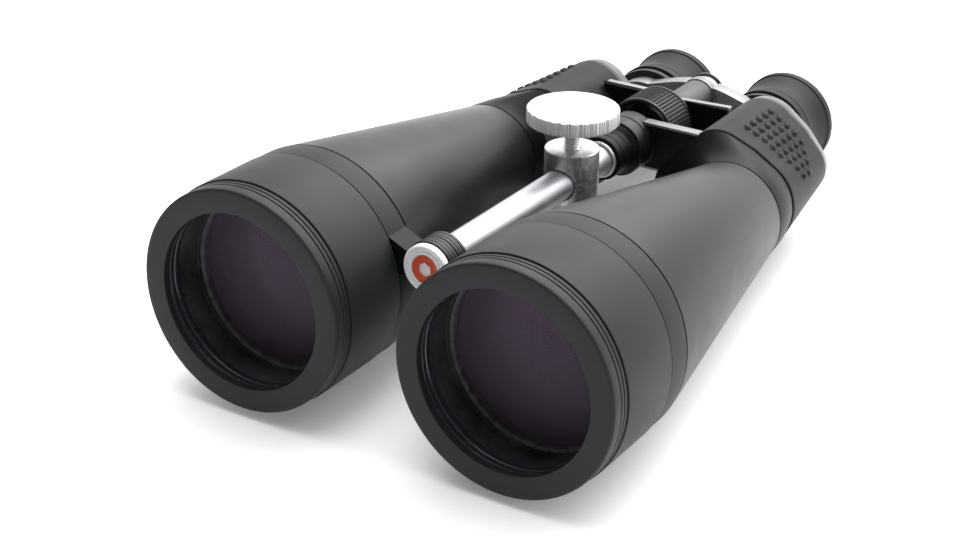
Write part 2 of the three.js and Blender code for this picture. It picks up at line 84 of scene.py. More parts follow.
HOOD = Span("hood_left")
BAND_START = Span("bracket_ring_left").start
BAND_END = Span("bracket_ring_left").end
CONE_END = Span("barrel_left").end
ARMOR = Span("armor_left")
COVER = Span("rear_cover_left")
EYECUP = Span("eyecup_left")
ROD = Span("center_rod")
BLOCK = Span("tripod_block")
KNOB = Span("clamp_knob")
WHEEL = Span("focus_wheel")
BARREL = HOOD.axis
EYEPIECE = EYECUP.axis
HINGE = ROD.axis
BLOCK_Y = (BLOCK.start + BLOCK.end) / 2

GAP = 0.3  # air between neighbouring pieces
SEAM = 0.5  # width of a visible joint line
SMOOTH = 160  # segments round a large turned piece
MEDIUM = 128  # and round one about the hinge axis
COARSE = 64  # and round a hole or a screw
SIDES = (("left", 1), ("right", -1))

# -------- camera, stage and light
CAMERA_AZIMUTH = 31.85  # degrees from straight ahead of the hoods, towards +X
CAMERA_ELEVATION = 25.23  # degrees over the barrel axes
CAMERA_ROLL = 0.85  # degrees
CAMERA_DISTANCE = 823.3  # from the point it looks at
CAMERA_LENS = 80.15  # focal length
LOOK_AT = (57.78, 0, 44.86)  # a point over the hoods' front face


def camera():
    """The camera, at the angle and distance given above."""
    azimuth = math.radians(CAMERA_AZIMUTH)
    elevation = math.radians(CAMERA_ELEVATION)
    level = math.cos(elevation)
    back = Vector((math.sin(azimuth) * level, -math.cos(azimuth) * level, math.sin(elevation)))
    turn = (-back).to_track_quat("-Z", "Y").to_matrix().to_4x4()
    roll = Matrix.Rotation(math.radians(CAMERA_ROLL), 4, "Z")
    place = TO_ROW @ (Vector(LOOK_AT) + back * CAMERA_DISTANCE)
    data = bpy.data.cameras.new("camera")
    data.lens = CAMERA_LENS
    data.clip_start = 0.01
    data.clip_end = 20
    obj = bpy.data.objects.new("camera", data)
    bpy.context.scene.collection.objects.link(obj)
    obj.matrix_world = Matrix.Translation(place) @ turn @ roll
    bpy.context.scene.camera = obj


def node(tree, kind, inputs=None, **properties):
    """A new node with its properties and its unlinked inputs set."""
    made = tree.nodes.new(kind)
    for name, value in properties.items():
        setattr(made, name, value)
    for name, value in (inputs or {}).items():
        made.inputs[name].default_value = value
    return made


def world():
    """White surroundings, brighter overhead and behind than in front, seen as plain white."""
    made = bpy.data.worlds.new("studio")
    bpy.context.scene.world = made
    made.use_nodes = True
    tree = made.node_tree
    tree.nodes.clear()
    place = node(tree, "ShaderNodeTexCoord")
    lean = node(tree, "ShaderNodeVectorMath", operation="DOT_PRODUCT")
    tree.links.new(place.outputs["Generated"], lean.inputs[0])
    lean.inputs[1].default_value = Vector((0.15, 0.9, 0.42)).normalized()
    ramp = node(
        tree,
        "ShaderNodeMapRange",
        {"From Min": -0.3, "From Max": 1.0, "To Min": 0.28, "To Max": 2.0},
        interpolation_type="SMOOTHSTEP",
    )
    tree.links.new(lean.outputs["Value"], ramp.inputs["Value"])
    lit = node(tree, "ShaderNodeBackground", {"Color": (0.97, 0.985, 1, 1)})
    tree.links.new(ramp.outputs[0], lit.inputs["Strength"])
    seen = node(tree, "ShaderNodeBackground", {"Color": (1, 1, 1, 1), "Strength": 1.05})
    ray = node(tree, "ShaderNodeLightPath")
    mix = node(tree, "ShaderNodeMixShader")
    tree.links.new(ray.outputs["Is Camera Ray"], mix.inputs[0])
    tree.links.new(lit.outputs[0], mix.inputs[1])
    tree.links.new(seen.outputs[0], mix.inputs[2])
    out = node(tree, "ShaderNodeOutputWorld")
    tree.links.new(mix.outputs[0], out.inputs["Surface"])
    bpy.context.scene.view_settings.view_transform = "Standard"


def softbox(name, place, aim, size, power):
    """A rectangular lamp at a place, turned to a point, both in metres, of a power in watts."""
    data = bpy.data.lights.new(name, "AREA")
    data.shape = "RECTANGLE"
    data.size, data.size_y = size
    data.energy = power
    obj = bpy.data.objects.new(name, data)
    bpy.context.scene.collection.objects.link(obj)
    obj.location = place
    obj.rotation_mode = "QUATERNION"
    obj.rotation_quaternion = (Vector(aim) - Vector(place)).to_track_quat("-Z", "Y")


def floor():
    """A pale sheet that touches the hoods' undersides and the eyecups, as the object rests."""
    front_y, front_z = HOOD.end - 6, BARREL[1] - HOOD.radius
    rear_y, rear_z = EYECUP.end - 2.4, EYECUP.bottom
    slope = (rear_z - front_z) / (rear_y - front_y)
    drop = 0.3  # how far the sheet stays under what it carries
    reach = 1400
    bm = bmesh.new()
    corners = []
    for x, y in ((-reach, -reach), (reach, -reach), (reach, reach), (-reach, reach)):
        corners.append(bm.verts.new((x, y, front_z + (y - front_y) * slope - drop)))
    bm.faces.new(corners)
    bm.transform(TO_ROW)
    mesh = bpy.data.meshes.new("floor")
    bm.to_mesh(mesh)
    bm.free()
    paper = bpy.data.materials.new("white_sweep")
    paper.use_nodes = True
    shader = paper.node_tree.nodes["Principled BSDF"]
    shader.inputs["Base Color"].default_value = (0.93, 0.93, 0.93, 1)
    shader.inputs["Roughness"].default_value = 0.9
    shader.inputs["Specular IOR Level"].default_value = 0.1
    shader.inputs["Emission Color"].default_value = (1, 1, 1, 1)
    shader.inputs["Emission Strength"].default_value = 0.16
    mesh.materials.append(paper)
    obj = bpy.data.objects.new("floor", mesh)
    bpy.context.scene.collection.objects.link(obj)


camera()
world()
floor()
softbox("overhead_softbox", (-0.1, 0.1, 1.5), (0, 0.05, 0), (1.5, 1.5), 23)
softbox("near_softbox", (-0.15, 0.42, 0.42), (0.05, 0.03, 0.03), (0.3, 0.2), 0.35)
softbox("rear_softbox", (0.35, 1.1, 1.2), (0, 0, 0), (1.4, 1.0), 18)
softbox("side_softbox", (1.5, 0.1, 0.6), (0, 0, 0.05), (0.9, 0.9), 0.8)

# -------- materials


def finish(
    name,
    dark,
    light,
    roughness,
    grain,
    depth,
    metallic=0.0,
    patches=18.0,
    stretch=(1, 1, 1),
    specular=0.5,
    coat=0.0,
    tint=(1, 1, 1),
    contrast=1.0,
):
    """A finish whose colour and roughness drift between two values over patches of that size, in
    millimetres, under fine grain of that size and depth. stretch makes the grain run in lines, and
    contrast sharpens the drift into speckles."""
    made = bpy.data.materials.new(name)
    made.use_nodes = True
    tree = made.node_tree
    shader = tree.nodes["Principled BSDF"]
    shader.inputs["Metallic"].default_value = metallic
    shader.inputs["Specular IOR Level"].default_value = specular
    shader.inputs["Specular Tint"].default_value = (*tint, 1)
    shader.inputs["Coat Weight"].default_value = coat
    shader.inputs["Coat Roughness"].default_value = 0.12
    place = node(tree, "ShaderNodeTexCoord")
    slow = node(tree, "ShaderNodeTexNoise", {"Scale": 1 / (patches * MM), "Detail": 3})
    tree.links.new(place.outputs["Object"], slow.inputs["Vector"])
    colour = node(tree, "ShaderNodeMix", data_type="RGBA")
    colour.inputs["A"].default_value = (*dark, 1)
    colour.inputs["B"].default_value = (*light, 1)
    mapping = node(tree, "ShaderNodeMapping", {"Scale": stretch})
    tree.links.new(place.outputs["Object"], mapping.inputs["Vector"])
    fine = node(tree, "ShaderNodeTexNoise", {"Scale": 1 / (grain * MM), "Detail": 2})
    tree.links.new(mapping.outputs[0], fine.inputs["Vector"])
    blend = node(tree, "ShaderNodeMath", {1: 0.5}, operation="MULTIPLY_ADD")
    tree.links.new(slow.outputs["Fac"], blend.inputs[0])
    half = node(tree, "ShaderNodeMath", {1: 0.5}, operation="MULTIPLY")
    tree.links.new(fine.outputs["Fac"], half.inputs[0])
    tree.links.new(half.outputs[0], blend.inputs[2])
    spread = node(
        tree,
        "ShaderNodeMapRange",
        {"From Min": 0.5 - 0.5 / contrast, "From Max": 0.5 + 0.5 / contrast},
    )
    tree.links.new(blend.outputs[0], spread.inputs["Value"])
    tree.links.new(spread.outputs[0], colour.inputs["Factor"])
    tree.links.new(colour.outputs["Result"], shader.inputs["Base Color"])
    low, high = roughness
    shine = node(
        tree,
        "ShaderNodeMapRange",
        {"From Min": 0.35, "From Max": 0.65, "To Min": low, "To Max": high},
    )
    tree.links.new(blend.outputs[0], shine.inputs["Value"])
    tree.links.new(shine.outputs[0], shader.inputs["Roughness"])
    bump = node(tree, "ShaderNodeBump", {"Strength": 1.0, "Distance": depth * MM})
    tree.links.new(fine.outputs["Fac"], bump.inputs["Height"])
    tree.links.new(bump.outputs[0], shader.inputs["Normal"])
    return made


def glass(name, colour, tint, ior=1.52, clear=1.0, specular=0.5):
    """Glass that lets the share called clear through and sends the rest back diffusely in its own
    colour, an even painted reflection of the coating.
    """
    made = finish(name, colour, colour, (0.015, 0.03), 6, 0.0001, tint=tint, specular=specular)
    shader = made.node_tree.nodes["Principled BSDF"]
    shader.inputs["Transmission Weight"].default_value = clear
    shader.inputs["IOR"].default_value = ior
    return made


RUBBER = finish(
    "soft_rubber", (0.01, 0.0105, 0.0115), (0.017, 0.0175, 0.0185), (0.48, 0.58),
    grain=0.45, depth=0.02, specular=0.24,
)
GRIP_RUBBER = finish(
    "grip_rubber", (0.02, 0.0205, 0.021), (0.034, 0.0345, 0.035), (0.32, 0.42),
    grain=0.5, depth=0.01, specular=0.5,
)
ARMOR_RUBBER = finish(
    "armor_rubber", (0.006, 0.0059, 0.0057), (0.01, 0.0097, 0.0093), (0.48, 0.58),
    grain=0.5, depth=0.02, specular=0.18,
)
EYECUP_RUBBER = finish(
    "eyecup_rubber", (0.009, 0.0085, 0.008), (0.016, 0.015, 0.014), (0.5, 0.6),
    grain=0.6, depth=0.02, specular=0.22,
)
BARREL_PAINT = finish(
    "barrel_coating", (0.004, 0.0042, 0.0045), (0.008, 0.0082, 0.0085), (0.34, 0.42),
    grain=0.3, depth=0.008, specular=0.22,
)
BLACK_PAINT = finish(
    "black_paint", (0.004, 0.004, 0.0045), (0.008, 0.008, 0.0085), (0.32, 0.42),
    grain=0.35, depth=0.008, specular=0.3,
)
DARK_PAINT = finish(
    "dark_paint", (0.003, 0.003, 0.0033), (0.006, 0.006, 0.0064), (0.34, 0.44),
    grain=0.4, depth=0.006, specular=0.1,
)
GREY_PAINT = finish(
    "grey_paint", (0.2, 0.2, 0.194), (0.27, 0.27, 0.26), (0.36, 0.46),
    grain=0.25, depth=0.006, metallic=0.6,
)
GLOSS_BLACK = finish(
    "gloss_black", (0.006, 0.006, 0.008), (0.01, 0.01, 0.012), (0.16, 0.26),
    grain=0.5, depth=0.004,
)
BLUED = finish(
    "blued_ring", (0.01, 0.012, 0.017), (0.03, 0.033, 0.042), (0.16, 0.26),
    grain=0.7, depth=0.004, coat=0.4, patches=5,
)
FLOCK = finish(
    "flocked_wall", (0.001, 0.001, 0.0012), (0.065, 0.069, 0.072), (0.6, 0.85),
    grain=0.45, depth=0.1, specular=0.15, contrast=3,
)
# Painted reflection: the retaining ring's lit grey speckle stands in for the flocked wall seen
# mirrored in the objective.
RING_PAINTED_REFLECTION = finish(
    "ring_painted_reflection", (0.008, 0.007, 0.008), (0.12, 0.108, 0.12), (0.5, 0.7),
    grain=0.4, depth=0.06, patches=3, contrast=3,
)
SATIN = finish(
    "satin_aluminium", (0.46, 0.47, 0.48), (0.6, 0.61, 0.625), (0.4, 0.5),
    grain=0.22, depth=0.002, metallic=1, patches=9, stretch=(0.12, 1, 0.12),
)
BLASTED = finish(
    "blasted_aluminium", (0.55, 0.56, 0.575), (0.92, 0.93, 0.94), (0.32, 0.46),
    grain=0.6, depth=0.03, metallic=1, patches=2.0, contrast=2.4,
)
BRIGHT = finish(
    "bright_metal", (0.86, 0.865, 0.875), (0.93, 0.935, 0.94), (0.24, 0.34),
    grain=0.4, depth=0.002, metallic=0.85,
)
TURNED = finish(
    "turned_aluminium", (0.9, 0.905, 0.91), (0.98, 0.98, 0.98), (0.34, 0.46),
    grain=0.4, depth=0.004, metallic=0.15,
)
KNURLED = finish(
    "knurled_aluminium", (0.76, 0.765, 0.77), (0.85, 0.855, 0.86), (0.3, 0.42),
    grain=0.4, depth=0.004, metallic=0.25,
)
COVER_PAINT = finish(
    "cover_paint", (0.08, 0.078, 0.075), (0.12, 0.117, 0.112), (0.36, 0.46),
    grain=0.3, depth=0.008, metallic=0.3,
)
HUB_PAINT = finish(
    "hub_paint", (0.035, 0.0355, 0.036), (0.055, 0.0555, 0.056), (0.4, 0.5),
    grain=0.3, depth=0.008, metallic=0.2,
)
ENAMEL = finish(
    "red_enamel", (0.62, 0.07, 0.025), (0.7, 0.1, 0.04), (0.25, 0.35),
    grain=0.4, depth=0.003, coat=0.5,
)
COATED_GLASS = glass("coated_glass", (0.5, 0.38, 0.55), (0.95, 0.6, 1.0), ior=1.6)
# Painted reflection: about a fifth of the light comes back diffusely in a mauve tone that stands
# in for the coating's reflection.
FRONT_GLASS = glass(
    "objective_glass", (0.33, 0.26, 0.34), (1.0, 0.72, 1.0),
    ior=1.12, clear=0.82, specular=0.02,
)
PRISM_GLASS = glass("prism_glass", (0.86, 0.92, 0.9), (1, 1, 1))

# -------- shape helpers


def rounded(corners, steps=4):
    """Points of a profile. A corner is (r, y), or (r, y, trim) with a curve that far each way."""
    points = []
    for i, corner in enumerate(corners):
        here = Vector(corner[:2])
        if len(corner) == 2:
            points.append(here)
            continue
        before = Vector(corners[i - 1][:2])
        after = Vector(corners[(i + 1) % len(corners)][:2])
        first = here + (before - here).normalized() * corner[2]
        last = here + (after - here).normalized() * corner[2]
        for k in range(steps + 1):
            t = k / steps
            points.append(first.lerp(here, t).lerp(here.lerp(last, t), t))
    return points


def skin(bm, rings, closed):
    """Joins each ring of vertices to the next, and the last to the first if closed."""
    followers = rings[1:] + rings[:1] if closed else rings[1:]
    count = max(len(ring) for ring in rings)
    for first, second in zip(rings, followers):
        if len(first) == len(second) == 1:
            continue
        for i in range(count):
            j = (i + 1) % count
            corners = (
                first[i % len(first)],
                first[j % len(first)],
                second[j % len(second)],
                second[i % len(second)],
            )
            bm.faces.new(list(dict.fromkeys(corners)))
    return bm


def turned(profile, axis=(0, 0), segments=SMOOTH, shape=None):
    """Turns a closed profile of (radius, y) points about the Y axis through axis. shape gives the
    radius in place of the profile's, from the radius, y and angle."""
    bm = bmesh.new()
    rings = []
    for radius, y in profile:
        if radius < 1e-6:
            rings.append([bm.verts.new((axis[0], y, axis[1]))])
            continue
        ring = []
        for i in range(segments):
            angle = 2 * math.pi * i / segments
            reach = shape(radius, y, angle) if shape else radius
            x = axis[0] + reach * math.cos(angle)
            z = axis[1] + reach * math.sin(angle)
            ring.append(bm.verts.new((x, y, z)))
        rings.append(ring)
    return skin(bm, rings, closed=True)


def tube(inner, outer, start, end, axis=(0, 0), trim=0.3, segments=SMOOTH):
    """A tube along Y, its edges trimmed."""
    corners = [(inner, start, trim), (outer, start, trim), (outer, end, trim), (inner, end, trim)]
    return turned(rounded(corners, 3), axis, segments)


def rod(radius, start, end, axis=(0, 0), trim=0.3, segments=SMOOTH):
    """A solid round bar along Y, its edges trimmed."""
    corners = [(0, start), (radius, start, trim), (radius, end, trim), (0, end)]
    return turned(rounded(corners, 3), axis, segments)


def upright(bm):
    """Stands a piece that was turned about the Y axis up, at the tripod block's place."""
    bm.transform(Matrix.Translation((0, BLOCK_Y, 0)) @ Matrix.Rotation(math.pi / 2, 4, "X"))
    return bm


def resampled(points, count):
    """That many points, spaced evenly along a closed line."""
    lengths = [(b - a).length for a, b in zip(points, points[1:] + points[:1])]
    total = sum(lengths)
    spaced = []
    walked = 0.0
    i = 0
    for k in range(count):
        target = total * k / count
        while walked + lengths[i] < target:
            walked += lengths[i]
            i += 1
        share = (target - walked) / lengths[i] if lengths[i] else 0
        spaced.append(points[i].lerp(points[(i + 1) % len(points)], share))
    return spaced


def enclosing(circles, inset, count):
    """Points along the convex outline that encloses circles of (x, z, radius)."""
    steps = 540
    outline = []
    for i in range(steps):
        angle = 2 * math.pi * i / steps
        normal = Vector((math.cos(angle), math.sin(angle)))
        x, z, radius = max(circles, key=lambda c: c[0] * normal.x + c[1] * normal.y + c[2])
        outline.append(Vector((x, z)) + normal * (radius - inset))
    return resampled(outline, count)


def blended(first, second, share):
    """Circles between two rows of circles."""
    return [tuple(a + (b - a) * share for a, b in zip(p, q)) for p, q in zip(first, second)]


def stacked(sections):
    """A hollow sleeve through sections of (y, points), out along the skin and back inside."""
    bm = bmesh.new()
    rings = []
    for y, points in sections:
        rings.append([bm.verts.new((point.x, y, point.y)) for point in points])
    return skin(bm, rings, closed=True)


def lofted(outer, inner, count):
    """A hollow sleeve through outer and inner sections, each (y, circles, inset), front first."""
    sections = [*outer, *reversed(inner)]
    return stacked([(y, enclosing(circles, inset, count)) for y, circles, inset in sections])


def slab(outline, start, end):
    """An outline of (x, z) points, extruded along Y."""
    bm = bmesh.new()
    front = [bm.verts.new((x, start, z)) for x, z in outline]
    back = [bm.verts.new((x, end, z)) for x, z in outline]
    skin(bm, [front, back], closed=False)
    bm.faces.new(front)
    bm.faces.new(back)
    return bm


def arc(centre, radius, first, last, steps=16):
    """Points of an arc, with angles in degrees from +X towards +Z."""
    points = []
    for i in range(steps + 1):
        angle = math.radians(first + (last - first) * i / steps)
        x = centre[0] + radius * math.cos(angle)
        points.append((x, centre[1] + radius * math.sin(angle)))
    return points


def to_mesh(bm, name):
    """Turns a shape into a mesh with its faces outward, and frees it."""
    bmesh.ops.recalc_face_normals(bm, faces=bm.faces)
    mesh = bpy.data.meshes.new(name)
    bm.to_mesh(mesh)
    bm.free()
    return mesh


def merged(shapes):
    """Puts separate closed meshes in one."""
    bm = shapes[0]
    for shape in shapes[1:]:
        mesh = to_mesh(shape, "part")
        bm.from_mesh(mesh)
        bpy.data.meshes.remove(mesh)
    return bm


def combined(joined, removed=()):
    """Joins closed meshes and cuts others out of the result, exactly."""
    base = bpy.data.objects.new("base", to_mesh(joined[0], "base"))
    bpy.context.scene.collection.objects.link(base)
    tools = []
    for operation, shapes in (("UNION", joined[1:]), ("DIFFERENCE", removed)):
        for shape in shapes:
            tool = bpy.data.objects.new("tool", to_mesh(shape, "tool"))
            bpy.context.scene.collection.objects.link(tool)
            modifier = base.modifiers.new("cut", "BOOLEAN")
            modifier.operation = operation
            modifier.solver = "EXACT"
            modifier.object = tool
            tools.append(tool)
    depsgraph = bpy.context.evaluated_depsgraph_get()
    bm = bmesh.new()
    bm.from_object(base, depsgraph)
    for obj in [base, *tools]:
        bpy.data.objects.remove(obj)
    return bm


def eased(bm, width, sharp=35):
    """Rounds the edges that are sharper than an angle in degrees."""
    bmesh.ops.remove_doubles(bm, verts=bm.verts, dist=1e-4)
    flat = math.radians(0.5)
    bmesh.ops.dissolve_limit(bm, angle_limit=flat, verts=bm.verts, edges=bm.edges)
    limit = math.radians(sharp)
    edges = [e for e in bm.edges if e.is_manifold and e.calc_face_angle() > limit]
    bmesh.ops.bevel(
        bm, geom=edges, offset=width, segments=2, profile=0.6, affect="EDGES", clamp_overlap=True
    )
    return bm


def piece(name, bm, look, body, nodes=(), mirror=False, sharp=32):
    """Turns a shape drawn in the optical frame into a piece that rides on a body and takes the
    place of CAD nodes. Edges over the angle sharp, in degrees, are shaded as edges."""
    if mirror:
        bm.transform(MIRROR)
    mesh = to_mesh(bm, name)
    mesh.transform(TO_ROW)
    mesh.polygons.foreach_set("use_smooth", [True] * len(mesh.polygons))
    mesh.set_sharp_from_angle(angle=math.radians(sharp))
    mesh.materials.append(look)
    obj = bpy.data.objects.new(name, mesh)
    bpy.context.scene.collection.objects.link(obj)
    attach(obj, body)
    if nodes:
        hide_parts(*nodes)


def stand_in(name, bm, look, body, mirror=False):
    """A piece that takes the place of one CAD node and is named after it."""
    piece(f"{name}_look", bm, look, body, [name], mirror)


# -------- hoods and objectives
LIP_RADIUS = 39.5  # opening of the hood's lip
LIP_END = 3.4
SLEEVE_STEP = 10.6  # where the hood's thicker sleeve begins
HOOD_BORE = 47.1  # bore of the hood's rear part and of the clamp ring
POCKET_RADIUS = 44.2  # bore of the hood's front part, which holds the liner and the wall
POCKET_END = 24.2
LINER_RADIUS = 44.0
GLASS_RADIUS = 40.9
RING_SEAM = 0.5  # how far hood and barrel stand back from the clamp ring's own clearance


def groove(radius, y, width=0.7, depth=0.55):
    """Corners of a groove round a surface, front to back."""
    half = width / 2
    return [
        (radius, y - half, 0.15),
        (radius - depth, y - half * 0.5),
        (radius - depth, y + half * 0.5),
        (radius, y + half, 0.15),
    ]


def hood_shell():
    """Rubber hood: a lip, a collar with fine grooves and a longer sleeve."""
    collar = HOOD.radius - 0.6
    corners = [
        (LIP_RADIUS, 0, 0.35),
        (collar, 0, 1.5),
        *groove(collar, 5.6),
        *groove(collar, 8.0),
        (collar, SLEEVE_STEP - 0.5, 0.1),
        (collar - 0.8, SLEEVE_STEP - 0.4),
        (collar - 0.8, SLEEVE_STEP),
        (HOOD.radius, SLEEVE_STEP, 0.5),
        (HOOD.radius - 0.25, HOOD.end - RING_SEAM, 0.4),
        (HOOD_BORE, HOOD.end - RING_SEAM),
        (HOOD_BORE, POCKET_END),
        (POCKET_RADIUS, POCKET_END),
        (POCKET_RADIUS, LIP_END),
        (LIP_RADIUS, LIP_END, 0.3),
    ]
    return turned(rounded(corners), BARREL)


def hood_liner():
    """Two glossy ridges behind the lip, with a groove after each."""
    corners = [
        (LINER_RADIUS, 3.6),
        (42.3, 3.7),
        (40.4, 4.1, 0.5),
        *groove(40.4, 5.2, 0.3, 0.12),
        (40.3, 7.4, 0.6),
        (42.3, 7.6),
        (42.3, 8.2),
        (40.6, 8.4, 0.8),
        (40.6, 11.4, 0.8),
        (42.4, 11.6),
        (42.4, 12.7),
        (LINER_RADIUS, 12.7),
    ]
    return turned(list(reversed(rounded(corners))), BARREL)


def hood_wall():
    """Flocked stray-light wall between the rings and the lens cell."""
    return tube(41.6, LINER_RADIUS, 12.8, POCKET_END - 0.1, BARREL)


def retaining_ring():
    """Thin ring with a sloping face that holds the objective in its cell."""
    inner, outer = 39.6, 41.1
    corners = [
        (inner, 27.0, 0.15),
        (40.1, 26.3, 0.2),
        (outer, 26.0, 0.2),
        (outer, 30.2),
        (inner, 30.2),
    ]
    return turned(rounded(corners), BARREL)


def lens_cell():
    """Cell with a seat for the glass, stepped down into the barrel's mouth."""
    bore, outer = GLASS_RADIUS + 0.4, 46.6
    front, step, seat, end = 24.6, 35.8, 43.6, 50
    corners = [
        (bore, front, 0.5),
        (outer, front, 0.3),
        (outer, step),
        (43.9, step),
        (43.9, end),
        (38.5, end, 0.3),
        (38.5, seat),
        (bore, seat),
    ]
    return turned(rounded(corners), BARREL)


def sagitta(radius, curvature):
    """Depth of a spherical face of that radius of curvature, at a radius."""
    return curvature - math.sqrt(curvature**2 - radius**2)


def lens(radius, front, front_curve, rear, rear_curve, axis, steps=14):
    """A lens. A face's radius of curvature is positive where its edge lies behind its vertex."""

    def face(vertex, curve):
        points = []
        for i in range(steps + 1):
            r = radius * i / steps
            points.append((r, vertex + math.copysign(1, curve) * sagitta(r, abs(curve))))
        return points

    return turned(face(front, front_curve) + face(rear, rear_curve)[::-1], axis, 96)


# -------- barrels and clamp rings
BAND_RADIUS = 49.8
NECK_RADIUS = 25.5  # rear end of the cone
ROD_BORE = 7.6  # bore of what sits on the rod
KNUCKLE_RADIUS = 11.4
KNUCKLES = {"left": (52.6, BAND_END), "right": (BAND_START, 52.3)}


def barrel():
    """Conical shell behind a short spigot that carries the clamp ring and the hood."""
    spigot, bore = 46.8, 44.2
    cone_start = BAND_END + GAP + RING_SEAM
    corners = [
        (bore, 36),
        (spigot, 36),
        (spigot, cone_start),
        (BAND_RADIUS - 0.2, cone_start, 0.4),
        (NECK_RADIUS, CONE_END, 0.5),
        (23.1, CONE_END),
        (bore, 76),
    ]
    return turned(rounded(corners), BARREL)


def clamp_band():
    """Clamp ring between the hood and the cone."""
    corners = [
        (HOOD_BORE, BAND_START),
        (BAND_RADIUS, BAND_START, 0.5),
        (BAND_RADIUS, BAND_END, 0.5),
        (HOOD_BORE, BAND_END),
    ]
    return turned(rounded(corners), BARREL)


def clamp_arm(side):
    """Flat arm from the clamp ring to its knuckle on the rod, stepped back round the other one."""
    own_start, own_end = KNUCKLES[side]
    ring_side = [(17, 8), (24, 16), (22, 24.6)]  # inside the clamp ring
    to_own = slab([(9, 18.7), (9, 9), *ring_side], own_start, own_end)
    clear = arc(HINGE, KNUCKLE_RADIUS + 0.5, 21.5, -35, 10)
    rest = (BAND_START, own_start) if side == "left" else (own_end, BAND_END)
    round_other = slab([*clear, *ring_side], *rest)
    return merged([to_own, round_other])


def clamp_knuckle(side):
    """Knuckle on the rod, with two fine grooves."""
    start, end = KNUCKLES[side]
    middle = (start + end) / 2
    radius = KNUCKLE_RADIUS
    corners = [
        (ROD_BORE, start),
        (radius, start, 0.5),
        *groove(radius, middle - 1.2, 0.35, 0.18),
        *groove(radius, middle + 1.0, 0.35, 0.18),
        (radius, end, 0.5),
        (ROD_BORE, end),
    ]
    return turned(rounded(corners, 2), HINGE, MEDIUM)


# -------- prism housings
# The outlines enclose circles of (x, z, radius), from the barrel's side to the eyepiece's.
NECK = [(*BARREL, NECK_RADIUS)]
FRONT = [(*BARREL, 22.8), (56, 6.6, 21.2), (48, 13.7, 17.4), (*EYEPIECE, 17)]
REAR = [(65, 1, 15), (56.1, 7.2, 17.5), (47.3, 13.4, 17.6), (*EYEPIECE, 17)]
COVER_REAR = [(63.8, 0, 14.2), (55.3, 6.1, 17), (46.8, 12.2, 17.6), (*EYEPIECE, 17)]
COVER_END = 273.4  # rear face of the cover, ahead of the eyepiece guide
EYEPIECE_BORE = 16.2  # bore of the cover, guide, arm and ring round the eyepiece tube
NECK_CURVE = 1.9  # how late the neck widens: 1 would be straight


def armor_circles(y):
    """The armour's outline at y, between the front and rear seams."""
    share = (y - ARMOR.start) / (ARMOR.end - ARMOR.start)
    return blended(FRONT, REAR, min(1, max(0, share)))


def stretch_of(start, end, step):
    """Values from start to end, about a step apart."""
    count = max(1, round((end - start) / step))
    return [start + (end - start) * i / count for i in range(count + 1)]


def neck():
    """The cast neck, concave between the barrel's end and the armour, and the body under it."""
    count = 240
    body, inside = 2.3, 4.2  # how far the body and its inside lie under the armour's skin
    start = CONE_END + 0.25
    lip = ARMOR.start - SEAM - 0.3
    first = enclosing(NECK, 0, count)
    last = enclosing(FRONT, 0.5, count)
    sections = [(start, enclosing(NECK, 0.5, count))]
    for y in stretch_of(start + 0.35, lip, 0.8):
        rise = ((y - start) / (lip - start)) ** NECK_CURVE
        sections.append((y, [a.lerp(b, rise) for a, b in zip(first, last)]))
    sections.append((lip + 0.25, enclosing(FRONT, 0.9, count)))
    sections.append((lip + 0.3, enclosing(FRONT, body, count)))
    for y in stretch_of(ARMOR.start, ARMOR.end, 6):
        sections.append((y, enclosing(armor_circles(y), body, count)))
    for y in reversed(stretch_of(ARMOR.start + 8, ARMOR.end, 8)):
        sections.append((y, enclosing(armor_circles(y), inside, count)))
    sections.append((ARMOR.start, enclosing(FRONT, 4.5, count)))
    sections.append((start, enclosing(NECK, 3.5, count)))
    return stacked(sections)


STUD_ROWS = (5, 5, 5, 5, 5, 4, 3, 2)  # studs in each row along the barrel, from the top outwards
STUD_FIRST = (44.8, 230.0)  # arc length from the outermost side and place along Y, of the first
STUD_STEP = (-0.98, 6.3)  # from a stud to the next in its row, round the armour and along Y
ROW_STEP = -5.05  # from a row to the next, round the armour
SHORT_ROW_STEP = 2.4  # how much further back a row starts for each stud it lacks
STUD_RADIUS = 1.75
STUD_HEIGHT = 1.1
STUD_GROOVE = 0.2  # depth of the groove round a stud


def stud_centres():
    """The studs' centres. The first rows are full, and the short ones start further back."""
    full = max(STUD_ROWS)
    centres = []
    for row, count in enumerate(STUD_ROWS):
        around = STUD_FIRST[0] + ROW_STEP * row
        first = STUD_FIRST[1] + SHORT_ROW_STEP * (full - count)
        for i in range(count):
            centres.append((around + STUD_STEP[0] * i, first + STUD_STEP[1] * i))
    return centres


STUDS = stud_centres()


def stud_rise(around, y):
    """Height of the studs over the armour: flat-topped, longer to the front, in a groove."""
    rise = 0.0
    for centre_around, centre_y in STUDS:
        across = around - centre_around
        along = y - centre_y
        if abs(across) > 3 or abs(along) > 4:
            continue
        reach = math.hypot(across, along / (1.35 if along < 0 else 1.05)) / STUD_RADIUS
        if reach < 1:
            rise = STUD_HEIGHT * (1 - reach**5)
        elif reach < 1.4:
            rise = min(rise, -STUD_GROOVE * math.sin(math.pi * (reach - 1) / 0.4))
    return rise


def studded(circles, y, count):
    """The outline at y with the grip studs raised on it."""
    points = enclosing(circles, 0, count)
    step = sum((b - a).length for a, b in zip(points, points[1:] + points[:1])) / count
    raised = []
    for i, point in enumerate(points):
        along = points[(i + 1) % count] - points[i - 1]
        normal = Vector((along.y, -along.x)).normalized()
        raised.append(point + normal * stud_rise(i * step, y))
    return raised


